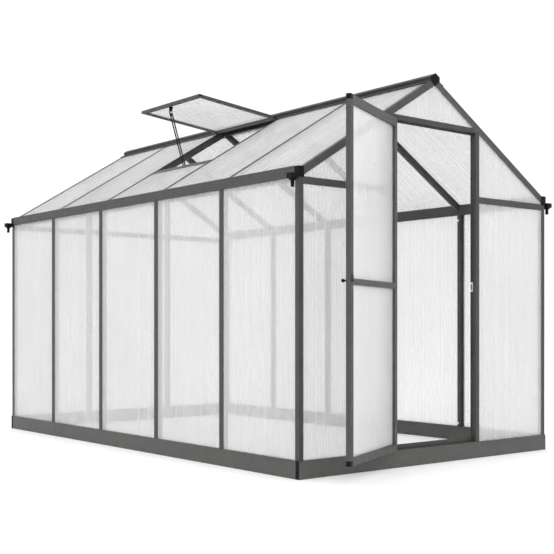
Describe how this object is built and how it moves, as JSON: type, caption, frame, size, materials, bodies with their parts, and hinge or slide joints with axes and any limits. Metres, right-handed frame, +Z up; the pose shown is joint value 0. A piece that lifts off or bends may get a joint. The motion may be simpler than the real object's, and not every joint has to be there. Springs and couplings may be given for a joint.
{
  "type": "walk-in greenhouse",
  "caption": "Walk-in gable greenhouse: dark metal frame on a steel base, translucent ribbed panes, hinged door, propped roof vent, gutters.",
  "frame": {"origin": "on the ground, in the middle of the rectangle of ground-anchor holes in the base", "axes": "+Y along the house from the door gable to the back gable, +Z up, +X to the right seen from the door"},
  "size_m": [1.916, 3.3278, 1.9971],
  "materials": {
    "frame_aluminium": "satin",
    "base_steel": "satin",
    "black_plastic": "satin",
    "zinc": "satin",
    "hinge_metal": "satin",
    "wall_pane": "satin",
    "roof_pane": "satin"
  },
  "bodies": {
    "house": {"back_panes": "wall_pane", "back_studs": "frame_aluminium", "base_brackets": "zinc", "base_end_caps": "black_plastic", "base_rail_back": "base_steel", "base_rail_front": "base_steel", "base_rails_side": "base_steel", "corner_post_back_left": "frame_aluminium", "corner_post_back_right": "frame_aluminium", "corner_post_front_left": "frame_aluminium", "corner_post_front_right": "frame_aluminium", "cross_beams_back": "frame_aluminium", "cross_beams_front": "frame_aluminium", "door_head": "frame_aluminium", "door_jamb_left": "frame_aluminium", "door_jamb_right": "frame_aluminium", "door_threshold": "frame_aluminium", "front_panes": "wall_pane", "gutter_ends": "black_plastic", "gutter_left": "frame_aluminium", "gutter_right": "frame_aluminium", "hinge_pins": "zinc", "jamb_hinges": "hinge_metal", "latch_keeper": "zinc", "rafter_back_left": "frame_aluminium", "rafter_back_right": "frame_aluminium", "rafter_front_left": "frame_aluminium", "rafter_front_right": "frame_aluminium", "ridge_beam": "frame_aluminium", "ridge_end_caps": "black_plastic", "roof_bars_left": "frame_aluminium", "roof_bars_right": "frame_aluminium", "roof_panes_left": "roof_pane", "roof_panes_right": "roof_pane", "sill_bracket": "hinge_metal", "stay_stud": "zinc", "vent_sill": "frame_aluminium", "wall_bars_left": "frame_aluminium", "wall_bars_right": "frame_aluminium", "wall_panes_left": "wall_pane", "wall_panes_right": "wall_pane"},
    "door": {"door_hinge_stile": "frame_aluminium", "door_latch_stile": "frame_aluminium", "door_stile_caps": "black_plastic", "door_top_rail": "frame_aluminium", "door_middle_rail": "frame_aluminium", "door_bottom_rail": "frame_aluminium", "door_panes": "wall_pane", "leaf_hinges": "hinge_metal", "latch_rose": "hinge_metal"},
    "latch": {"latch_knob": "black_plastic", "latch_tongue": "hinge_metal"},
    "vent": {"vent_top_rail": "frame_aluminium", "vent_side_rails": "frame_aluminium", "vent_free_rail": "frame_aluminium", "vent_pane": "roof_pane", "vent_bracket": "black_plastic", "stay_rivet": "zinc"},
    "stay": {"stay_bar": "hinge_metal"},
    "clamp": {"stay_clamp_knob": "black_plastic"}
  },
  "joints": [
    {"name": "door_hinge", "type": "hinge", "parent": "house", "child": "door", "pos_m": [-0.3145, -1.511, 0.9], "axis": [0, 0, 1], "range_deg": [-20, 154.4]},
    {"name": "latch_turn", "type": "hinge", "parent": "door", "child": "latch", "pos_m": [-0.86561, -1.78059, 0.895], "axis": [0.4321, -0.9018, 0], "range_deg": [0, 90]},
    {"name": "vent_hinge", "type": "hinge", "parent": "house", "child": "vent", "pos_m": [-0.06, 0, 1.92685], "axis": [0, 1, 0], "range_deg": [-37.2, 7]},
    {"name": "stay_pivot", "type": "hinge", "parent": "vent", "child": "stay", "pos_m": [-0.58948, 0, 1.95041], "axis": [0, 1, 0], "range_deg": [-3.6, 18.7]},
    {"name": "clamp_turn", "type": "hinge", "parent": "house", "child": "clamp", "pos_m": [-0.48124, 0.037, 1.6052], "axis": [0, 1, 0], "range_deg": [0, 270]}
  ],
  "couplings": [
    {"joint": "stay_pivot", "follows": "vent_hinge", "ratio": -0.5}
  ]
}
